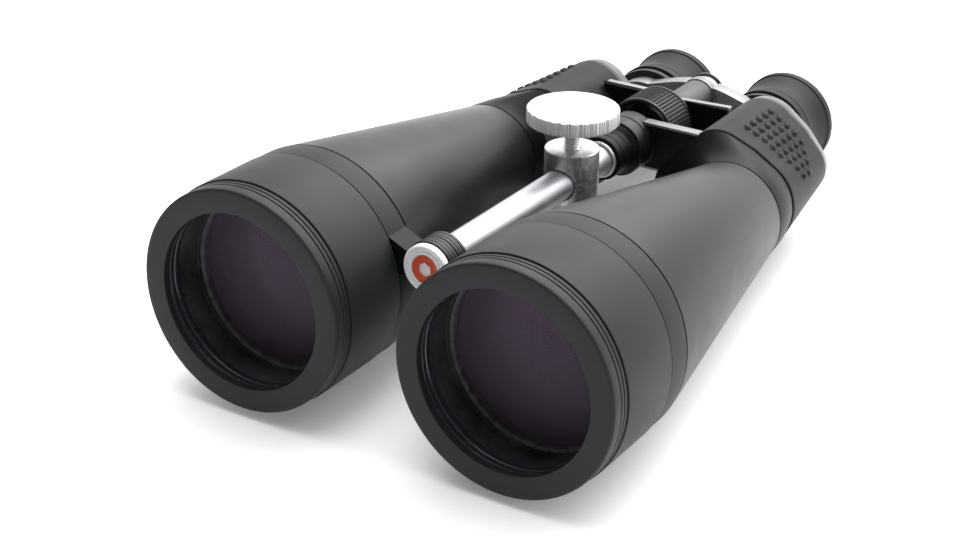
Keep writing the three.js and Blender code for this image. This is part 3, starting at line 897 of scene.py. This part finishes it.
def armor():
    """Rubber armour with rounded ends and a field of grip studs."""
    count = 420
    sections = [
        (ARMOR.start, enclosing(FRONT, 0.9, count)),
        (ARMOR.start + 0.25, enclosing(FRONT, 0.3, count)),
    ]
    for y in stretch_of(ARMOR.start + 0.9, ARMOR.end - 0.9, 0.5):
        sections.append((y, studded(armor_circles(y), y, count)))
    sections += [
        (ARMOR.end - 0.25, enclosing(REAR, 0.3, count)),
        (ARMOR.end, enclosing(REAR, 0.9, count)),
    ]
    for y in reversed(stretch_of(ARMOR.start, ARMOR.end, 4)):
        sections.append((y, enclosing(armor_circles(y), 2.0, count)))
    return stacked(sections)


def rear_cover():
    """Rear plate with a fine line round it, tapering to its chamfered edge."""
    outer = [(COVER.start, REAR, 0.6), (COVER.start + 0.5, REAR, 0.1)]
    run = COVER_END - COVER.start
    for y, inset in ((1.4, 0.1), (1.5, 0.5), (1.9, 0.5), (2.0, 0.05), (run - 1.0, 0.05)):
        outer.append((COVER.start + y, blended(REAR, COVER_REAR, y / run), inset))
    outer += [(COVER_END - 0.3, COVER_REAR, 0.5), (COVER_END, COVER_REAR, 1.4)]
    ring = [(*EYEPIECE, EYEPIECE_BORE)] * len(REAR)
    inner = [(COVER.start, ring, 0), (COVER_END, ring, 0)]
    return lofted(outer, inner, 240)


# Hinge plates by their stretch along Y, their rise over the hinge axis, the radius of their
# knuckles and how far they reach from the mid-plane. Of each half's knuckles the front one comes
# first, and the halves' knuckles stand one behind the other.
PIN_CLEARANCE = 6.3  # bore of the knuckles round the hinge pin and its bushes
FRONT_PLATE = {"y": (215.6, 221.8), "rise": 11.2, "knuckle": 13.45, "reach": 41}
REAR_PLATE = {"y": (252, 257), "rise": 12.0, "knuckle": 12.0, "reach": 33.5}
HINGE_KNUCKLES = {
    "left": ((212.2, 221), (254.2, 257.3)),
    "right": ((204, 211.9), (250.8, 253.9)),
}


def hinge_plate(plate, start, end, clear, rise):
    """A plate from round the hinge axis into the housing's wall."""
    angle = math.degrees(math.asin(min(0.98, rise / clear)))
    outline = arc(HINGE, clear, angle, -angle, 20)
    outline = [(max(x, PIN_CLEARANCE + 0.2), z) for x, z in outline]
    outline += [(plate["reach"], HINGE[1] - rise), (plate["reach"], HINGE[1] + rise)]
    return eased(slab(outline, start, end), 0.6)


def hinge_plates(side):
    """The front and rear plates of one half, with the tie to a knuckle that stands ahead."""
    plates = []
    for plate, (start, end) in zip((FRONT_PLATE, REAR_PLATE), HINGE_KNUCKLES[side]):
        y0, y1 = plate["y"]
        own = start <= y0 + 2.5 < end
        clear = plate["knuckle"] - 1.0 if own else plate["knuckle"] + 0.4
        plates.append(hinge_plate(plate, y0, y1, clear, plate["rise"]))
        if end < y0:
            tie = plate["rise"] - 3
            plates.append(hinge_plate(plate, start, y0 - 0.02, plate["knuckle"] - 1.0, tie))
    return plates


def plate_front_shade():
    """A thin dark sheet over the front face of each plate, short of its bright edges: painted
    shade that stands in for the shadow falling on those faces.
    """
    faces = []
    for plate in (FRONT_PLATE, REAR_PLATE):
        y0 = plate["y"][0]
        clear = plate["knuckle"] + 0.4
        faces.append(hinge_plate(plate, y0 - 0.25, y0 - 0.02, clear, plate["rise"] - 0.9))
    return faces


def hinge_knuckle(radius, start, end):
    """Knuckle round the hinge pin."""
    corners = [
        (PIN_CLEARANCE, start),
        (radius, start, 0.6),
        (radius, end, 0.6),
        (PIN_CLEARANCE, end),
    ]
    return turned(rounded(corners), HINGE, MEDIUM)


# -------- eyepieces and bridge arms
ARM_START, ARM_END = 287.6, 295.9
RING_START, RING_END = 296.2, 299.7  # the ring under the eyecup


def bridge_arm(side):
    """Arm from the bridge's hub, swept down to the ring round the eyepiece tube."""
    own_start, own_end = {"left": (290, 292.3), "right": (ARM_START, 289.7)}[side]
    hub_clearance = 9.7
    top = [(4.5, 21.5), (9, 21.3), (14, 20.3), (19, 18.9), (24, 17.4), (29, 15.9)]
    under = [(25, 11.5), (18, 2.5), (12, 5.5), (4.5, 10.2)]
    web = slab([*top, *under], ARM_START, ARM_END)
    ring = rod(18.8, ARM_START, ARM_END, EYEPIECE, 0)
    knuckle = rod(9.3, own_start, own_end, HINGE, 0)
    cuts = [
        rod(EYEPIECE_BORE, ARM_START - 2, ARM_END + 2, EYEPIECE, 0),
        rod(PIN_CLEARANCE, ARM_START - 3, ARM_END + 2, HINGE, 0, COARSE),
        rod(hub_clearance, 292.3, ARM_END + 2, HINGE, 0, COARSE),
    ]
    other = (ARM_START - 2, own_start - 0.15) if side == "left" else (own_end + 0.15, ARM_END + 2)
    cuts.append(rod(hub_clearance, *other, HINGE, 0, COARSE))
    return eased(combined([ring, web, knuckle], cuts), 0.5)


def eyecup():
    """Rubber eyecup: a collar, a groove, a waist and a rim band."""
    start = EYECUP.start
    corners = [
        (18.3, start),
        (22.9, start, 0.5),
        (22.9, start + 4.4, 0.4),
        (22.0, start + 4.6),
        (22.0, start + 5.1),
        (22.6, start + 5.3, 0.3),
        (21.7, start + 9.5, 3),
        (22.1, 316.0, 2),
        (23.3, 321.0, 2),
        (24.0, 323.4, 0.2),
        (24.6, 323.6, 0.2),
        (24.75, 327.2, 0.6),
        (23.9, EYECUP.end, 0.5),
        (22.3, EYECUP.end, 0.5),
        (18.8, 321, 2),
        (14.2, 314.8, 1),
        (12.6, 313.6),
        (12.6, 312.4),
        (18.3, 312.4),
    ]
    return turned(rounded(corners), EYEPIECE)


def eyepiece_ring():
    """Knurled ring under an eyecup."""
    start, end = RING_START, RING_END
    outer = 22.2
    ribs = 90

    def knurl(radius, y, angle):
        if radius < outer - 0.1:
            return radius
        return radius - 0.25 * (0.5 + 0.5 * math.cos(ribs * angle))

    corners = [
        (EYEPIECE_BORE, start),
        (outer - 0.4, start, 0.3),
        (outer, start + 0.5, 0.2),
        (outer, end - 0.5, 0.2),
        (outer - 0.4, end, 0.3),
        (EYEPIECE_BORE, end),
    ]
    return turned(rounded(corners, 2), EYEPIECE, ribs * 8, knurl)


def eyepiece_tube():
    """Tube that slides in the cover's guide."""
    return tube(14, EYEPIECE_BORE - 0.3, 268, RING_END, EYEPIECE)


def ocular_barrel():
    """Barrel that holds the eye lens inside the eyecup."""
    shoulder = EYECUP.start - 0.1
    bore, stem, head = 12.6, 13.7, 18
    corners = [
        (bore, 284),
        (stem, 284),
        (stem, shoulder),
        (head, shoulder),
        (head, 312.2),
        (11.7, 312.2, 0.3),
        (11.7, 310.8, 0.3),
        (bore, 310.2),
    ]
    return turned(rounded(corners), EYEPIECE)


# -------- both halves
def half(side, sign):
    """All that the halves have in common, drawn at +X and mirrored for the right one."""
    body = f"{side}_half"
    eyepiece = f"{side}_eyepiece"
    ocular = "right_ocular" if side == "right" else eyepiece

    def add(name, bm, look, rides=body, replaces=True, sharp=32):
        own = [f"{name}_{side}"] if replaces else []
        piece(f"{name}_{side}_look", bm, look, rides, own, sign < 0, sharp)

    shared_curve = -190  # of the crown's rear face and the flint's front face
    crown = lens(GLASS_RADIUS, 27, 420, 38.5, shared_curve, BARREL)
    flint = lens(GLASS_RADIUS, 38.8, shared_curve, 43.3, -900, BARREL)
    add("hood", hood_shell(), RUBBER)
    add("hood_liner", hood_liner(), BLUED, replaces=False)
    add("hood_wall", hood_wall(), FLOCK, replaces=False)
    add("lens_cell", lens_cell(), FLOCK)
    # The ring's speckled grey is a painted reflection of the flocked wall.
    add("retaining_ring", retaining_ring(), RING_PAINTED_REFLECTION)
    add("crown_element", crown, FRONT_GLASS)
    add("flint_element", flint, FRONT_GLASS)
    add("barrel", barrel(), BARREL_PAINT)
    add("bracket_ring", clamp_band(), RUBBER)
    add("clamp_arm", clamp_arm(side), DARK_PAINT, replaces=False)
    add("clamp_knuckle", clamp_knuckle(side), BLACK_PAINT, replaces=False)

    plates = merged(hinge_plates(side))
    # Painted shade: a thin dark sheet on each plate's front face stands in for the shadow there.
    faces = merged(plate_front_shade())
    add("prism_housing", neck(), DARK_PAINT)
    add("hinge_plates", plates, GREY_PAINT, replaces=False)
    add("plate_front_shade", faces, DARK_PAINT, replaces=False)
    for i, (start, end) in enumerate(HINGE_KNUCKLES[side]):
        plate = (FRONT_PLATE, REAR_PLATE)[i]
        knuckle = hinge_knuckle(plate["knuckle"], start, end)
        add(f"hinge_knuckle_{i + 1}", knuckle, BARREL_PAINT, replaces=False)
    add("armor", armor(), ARMOR_RUBBER, sharp=50)
    add("rear_cover", rear_cover(), COVER_PAINT)
    guide = tube(EYEPIECE_BORE, 18.4, COVER_END + 0.05, COVER.end, EYEPIECE, 0.5)
    add("eyepiece_guide", guide, BLACK_PAINT, replaces=False)

    field_lens = lens(13.7, 270, 60, 275, -40, EYEPIECE)
    eye_lens = lens(12.4, 303.5, 40, 309.8, -60, EYEPIECE)
    add("bridge_arm", bridge_arm(side), GREY_PAINT, eyepiece)
    add("eyepiece_tube", eyepiece_tube(), GLOSS_BLACK, eyepiece)
    add("field_lens", field_lens, COATED_GLASS, eyepiece)
    add("ocular_barrel", ocular_barrel(), BLACK_PAINT, ocular)
    add("eye_lens", eye_lens, COATED_GLASS, ocular)
    add("eyecup", eyecup(), EYECUP_RUBBER, ocular)


# -------- rod, block and knob
def rod_end_cap():
    """Bright cap with turned rings round a recess."""
    cap = Span("end_cap")
    front = cap.start
    recess = front + 0.8
    corners = [
        (0, recess),
        (6.6, recess),
        (6.6, front, 0.2),
        (7.6, front, 0.15),
        (7.7, recess),
        (8.3, recess),
        (8.4, front, 0.15),
        (9.3, front, 0.1),
        (9.45, front + 0.3),
        (9.7, front + 0.3),
        (9.85, front, 0.1),
        (10.3, front, 0.2),
        (10.8, front + 0.6, 0.2),
        (10.8, cap.end, 0.2),
        (0, cap.end),
    ]
    return turned(rounded(corners, 2), HINGE, MEDIUM)


def cap_ring():
    """Plain enamelled ring with a hexagonal socket through it."""
    ring = Span("cap_ring")
    socket, outer = 2.8, 6.3

    def hexagon(radius, y, angle):
        if radius > socket + 1.2:
            return radius
        turn = (angle + math.pi / 6) % (math.pi / 3) - math.pi / 6
        return radius / math.cos(turn)

    corners = [
        (socket, ring.start, 0.15),
        (outer, ring.start, 0.25),
        (outer, ring.end),
        (socket, ring.end),
    ]
    return turned(rounded(corners, 3), HINGE, 180, hexagon)


def tripod_block():
    """Upright cylinder, cross-bored for the rod, with a tapped hole at each end."""
    low, high = BLOCK.bottom, BLOCK.top
    body = upright(rod(BLOCK.radius, low, high, trim=0.8))
    past = 2  # how far a cut runs past the block
    cuts = [
        rod(ROD.radius + 0.5, BLOCK_Y - 20, BLOCK_Y + 20, HINGE, 0, MEDIUM),
        upright(rod(4.15, HINGE[1], high + past, trim=0, segments=COARSE)),
        upright(rod(3.2, low - past, low + 10, trim=0, segments=COARSE)),
    ]
    return eased(combined([body], cuts), 0.35, 50)


THREAD_PITCH = 1.25
THREAD_DEPTH = 0.85


def clamp_stud():
    """Threaded stud under the knob."""
    stud = Span("clamp_stud")
    radius = stud.radius

    def thread(r, y, angle):
        phase = (y / THREAD_PITCH - angle / (2 * math.pi)) % 1
        return r - THREAD_DEPTH * abs(2 * phase - 1)

    levels = stretch_of(stud.bottom, stud.top, THREAD_PITCH / 8)
    profile = [(0, levels[0]), *[(radius, y) for y in levels], (0, levels[-1])]
    return upright(turned(profile, segments=COARSE, shape=thread))


def clamp_knob():
    """Thumb wheel whose rim has shallow flutes, and ribs of uneven width and depth."""
    ribs = 96
    flutes = 28

    def rim(radius, y, angle):
        if radius < KNOB.radius - 0.5:
            return radius
        drift = 0.35 * math.sin(7 * angle) + 0.25 * math.sin(17 * angle + 1.3)
        wave = math.sin(ribs * angle + 2.2 * drift)
        cut = 0.5 + 0.5 * max(-1, min(1, 2.2 * wave))
        radius -= 0.5 * max(0.0, math.cos(flutes * angle)) ** 3
        return radius - 0.7 * cut * (0.6 + 0.4 * math.sin(23 * angle + 0.7))

    low, high = KNOB.bottom - 0.8, KNOB.top
    recess = low + 0.6
    corners = [
        (0, low),
        (8, low, 0.3),
        (8.6, recess, 0.3),
        (KNOB.radius - 0.6, recess, 0.2),
        (KNOB.radius, low + 1.0, 0.2),
        (KNOB.radius, high - 0.35, 0.1),
        (KNOB.radius - 0.45, high, 0.15),
        (0, high),
    ]
    return upright(turned(rounded(corners, 3), segments=ribs * 12, shape=rim))


def bar_of(name, trim, segments):
    """A solid bar along the hinge axis, the size of a CAD node."""
    span = Span(name)
    return rod(span.radius, span.start, span.end, HINGE, trim, segments)


def tube_of(name, bore, trim=0.3, segments=96):
    """A tube along the hinge axis, the size of a CAD node."""
    span = Span(name)
    return tube(bore, span.radius, span.start, span.end, HINGE, trim, segments)


def hinge_sleeve():
    """Black sleeve behind the rod, with two fine grooves and a wider rear end."""
    sleeve = Span("hinge_sleeve")
    front = 10.4
    corners = [
        (ROD_BORE, sleeve.start),
        (front, sleeve.start, 0.4),
        *groove(front, 193.2, 0.4, 0.2),
        *groove(front, 198.6, 0.4, 0.2),
        (front, 201.2, 0.6),
        (sleeve.radius, sleeve.end - 0.3, 0.2),
        (sleeve.radius, sleeve.end),
        (ROD_BORE, sleeve.end),
    ]
    return turned(rounded(corners, 3), HINGE, MEDIUM)


def centre():
    """What sits on the hinge axis ahead of the focuser."""
    rod_mesh = bar_of("center_rod", 0.4, MEDIUM)
    collar = tube_of("rod_collar", ROD_BORE - 0.1, 0.4, MEDIUM)
    pin_bore = 3.4
    stand_in("center_rod", rod_mesh, SATIN, "rod")
    stand_in("end_cap", rod_end_cap(), TURNED, "rod")
    stand_in("cap_ring", cap_ring(), ENAMEL, "rod")
    stand_in("tripod_block", tripod_block(), BLASTED, "tripod_mount")
    stand_in("clamp_stud", clamp_stud(), BRIGHT, "clamp_screw")
    stand_in("clamp_knob", clamp_knob(), KNURLED, "clamp_knob")
    stand_in("rod_collar", collar, BRIGHT, "centre")
    stand_in("hinge_sleeve", hinge_sleeve(), DARK_PAINT, "centre")
    for name in ("hinge_pin", "rear_hinge_bush"):
        stand_in(name, tube_of(name, pin_bore), SATIN, "centre")


# -------- focuser
SCREW_BORE = 3.2  # bore of the wheel, hub and collar on the focus screw
GRIP_SEAT = 15.6  # radius of the wheel under its grip


def focus_wheel():
    """Spool for the grip, with a rim at each end and a deep recess in each face."""
    start, end = WHEEL.start, WHEEL.end
    corners = [
        (SCREW_BORE, start + 6.2),
        (13.6, start + 6.2, 0.8),
        (14.2, start + 0.6, 0.2),
        (16.2, start, 0.3),
        (17.2, start + 0.4, 0.25),
        (17.2, start + 1.2, 0.1),
        (GRIP_SEAT, start + 1.3),
        (GRIP_SEAT, end - 1.3),
        (17.2, end - 1.2, 0.1),
        (17.2, end - 0.4, 0.25),
        (16.2, end, 0.3),
        (14.2, end - 0.6, 0.2),
        (13.6, end - 6, 0.8),
        (SCREW_BORE, end - 6),
    ]
    return turned(rounded(corners, 3), HINGE, MEDIUM)


def focus_grip():
    """Rubber tyre with bars across it, each cut into short ribs."""
    grip = Span("focus_grip")
    bars = 58
    ribs = 14
    per_rib = 6  # steps of the mesh along a rib
    shoulder = 0.5
    depth = 0.95
    bore = GRIP_SEAT + 0.15
    run = grip.end - grip.start - 2 * shoulder

    def tread(radius, y, angle):
        if radius < bore + 0.2:
            return radius
        along = (y - grip.start - shoulder) / run
        if not 0 < along < 1:
            return radius - 0.9
        bar = max(0.0, min(1.0, 0.9 + 1.6 * math.cos(bars * angle)))
        rib = max(0.0, min(1.0, 0.55 - 1.2 * math.cos(2 * math.pi * ribs * along)))
        return radius - depth + depth * bar * (0.3 + 0.7 * rib)

    levels = stretch_of(grip.start, grip.end, run / (ribs * per_rib))
    profile = [(bore, grip.start), *[(grip.radius, y) for y in levels], (bore, grip.end)]
    return turned(profile, HINGE, bars * 12, tread)


def bridge_hub():
    """Hub with a domed front and a thinner neck inside the arms."""
    hub = Span("bridge_hub")
    outer, neck_radius = 8.8, 6
    shoulder = ARM_START - GAP
    corners = [
        (SCREW_BORE, hub.start),
        (5.6, hub.start, 0.5),
        (7.9, hub.start + 2.4, 1.4),
        (outer, hub.start + 6.5, 2.5),
        (outer, shoulder, 0.4),
        (neck_radius, shoulder),
        (neck_radius, hub.end),
        (SCREW_BORE, hub.end),
    ]
    return turned(rounded(corners, 6), HINGE, MEDIUM)


def bridge_cap():
    """Glossy domed end of the bridge."""
    cap = Span("bridge_cap")
    corners = [
        (0, cap.start),
        (cap.radius, cap.start, 0.3),
        (cap.radius, cap.start + 1.4, 0.5),
        (7, cap.end - 0.7, 1.2),
        (0, cap.end),
    ]
    return turned(rounded(corners), HINGE, MEDIUM)


def focuser():
    """The focus wheel, its screw and the bridge between the arms."""
    screw = bar_of("focus_screw", 0.3, COARSE)
    collar = tube_of("bridge_collar", SCREW_BORE, 0.4, MEDIUM)
    stand_in("focus_wheel", focus_wheel(), GLOSS_BLACK, "focus_wheel")
    stand_in("focus_grip", focus_grip(), GRIP_RUBBER, "focus_wheel")
    stand_in("focus_screw", screw, SATIN, "bridge")
    stand_in("bridge_hub", bridge_hub(), HUB_PAINT, "bridge")
    stand_in("bridge_collar", collar, BRIGHT, "bridge")
    stand_in("bridge_cap", bridge_cap(), GLOSS_BLACK, "bridge")


# -------- assembly
for side, sign in SIDES:
    half(side, sign)
centre()
focuser()
stand_in("eyepiece_ring_left", eyepiece_ring(), BLACK_PAINT, "left_eyepiece")
stand_in("dioptre_ring", eyepiece_ring(), BLACK_PAINT, "dioptre_ring", mirror=True)

# The CAD's own shapes stand for the prisms and their shelves.
CAD_FINISHES = {"prism_shelf": FLOCK, "rear_prism": PRISM_GLASS, "front_prism": PRISM_GLASS}
for name, obj in frame["nodes"].items():
    for start, look in CAD_FINISHES.items():
        if name.startswith(start):
            obj.data.materials.clear()
            obj.data.materials.append(look)
